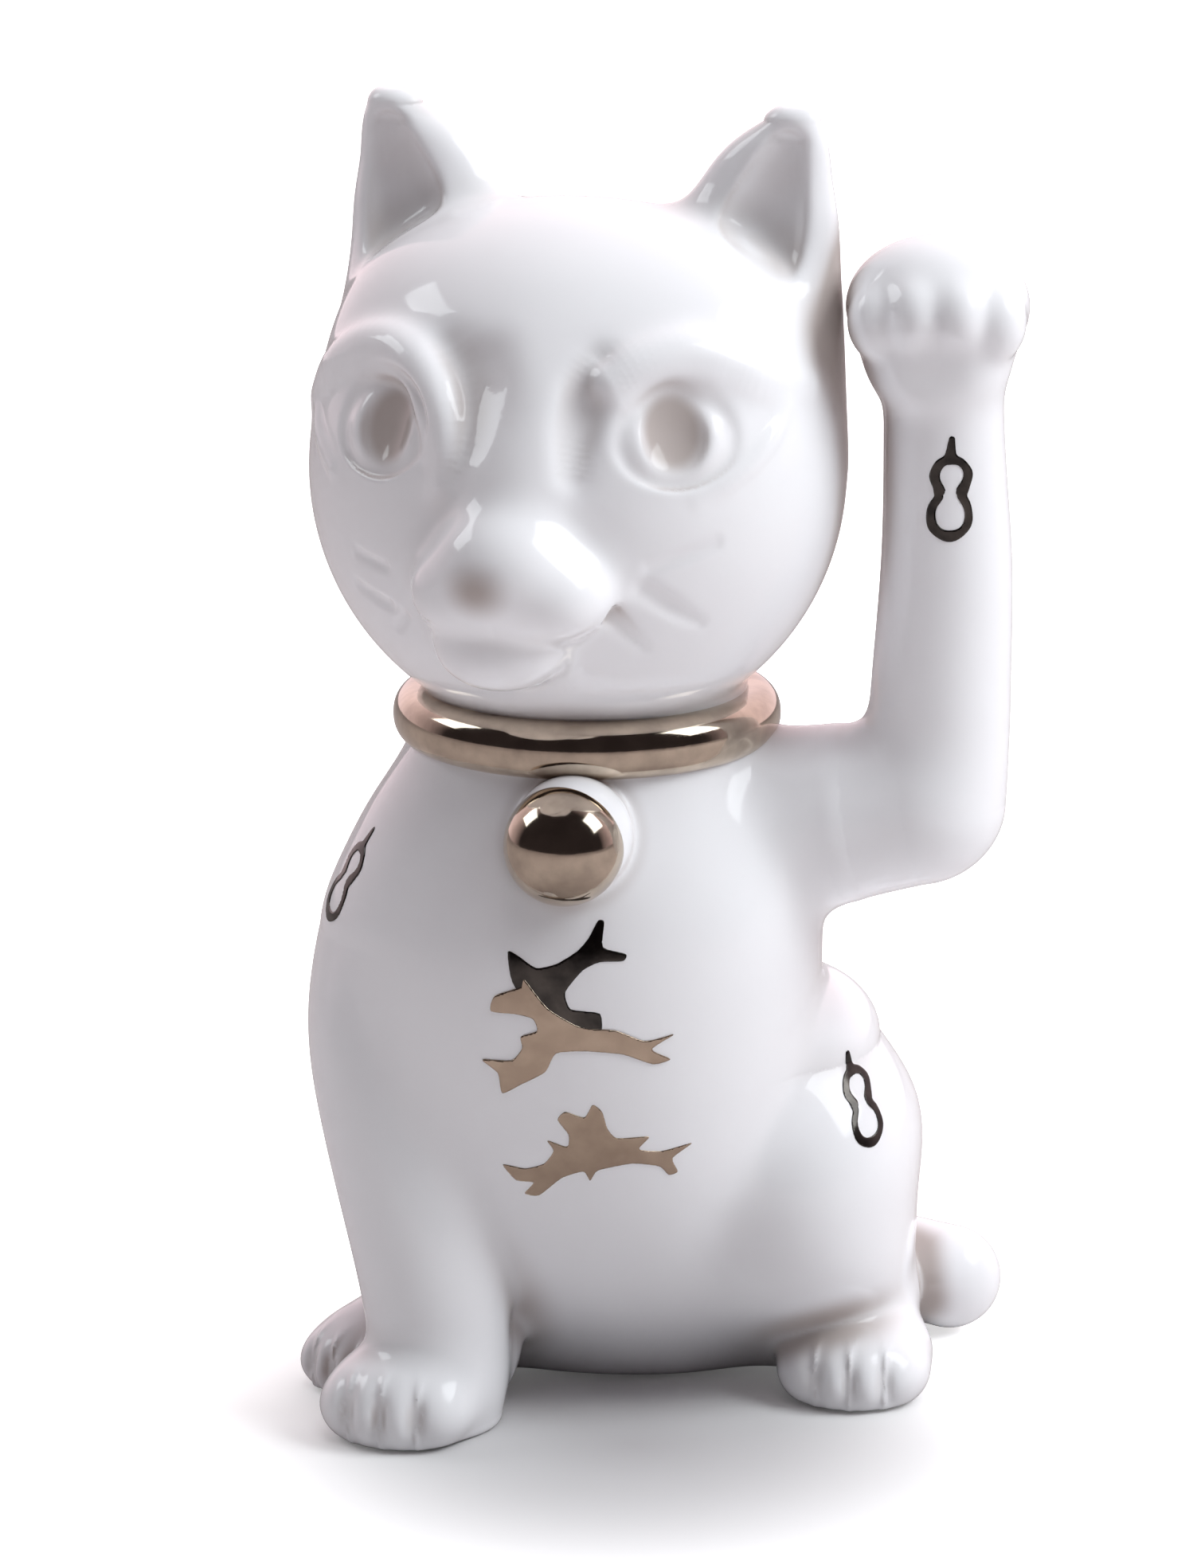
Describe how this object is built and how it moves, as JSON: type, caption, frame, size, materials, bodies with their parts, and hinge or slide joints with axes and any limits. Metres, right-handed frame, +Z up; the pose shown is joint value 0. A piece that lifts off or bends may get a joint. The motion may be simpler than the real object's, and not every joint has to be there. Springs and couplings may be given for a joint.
{
  "type": "beckoning cat figurine",
  "caption": "Seated porcelain cat beckoning with its raised left forepaw, wearing a metallic lustre collar and bell, with lustre carp on the chest and gourd outlines on the limbs.",
  "frame": {"origin": "on the flat base, straight below the middle of the neck", "axes": "+Z up, the body faces -Y, and the cat's own left side is +X"},
  "size_m": [0.1156, 0.1127, 0.2095],
  "materials": {
    "porcelain": "white glossy glaze",
    "bright_lustre": "polished platinum and gold lustre over glaze",
    "dark_lustre": "dark platinum lustre, hand brushed",
    "pale_lustre": "pale gold lustre, hand brushed"
  },
  "bodies": {
    "root": {"torso": "porcelain", "head": "porcelain", "left_ear": "porcelain", "right_ear": "porcelain", "raised_foreleg": "porcelain", "standing_foreleg": "porcelain", "left_hind_leg": "porcelain", "right_hind_leg": "porcelain", "tail": "porcelain", "collar": "bright_lustre", "bell": "bright_lustre", "gourd_forearm": "dark_lustre", "gourd_shoulder": "dark_lustre", "gourd_thigh": "dark_lustre", "carp_dark": "dark_lustre", "carp_light": "pale_lustre", "carp_lower": "pale_lustre"}
  },
  "joints": []
}
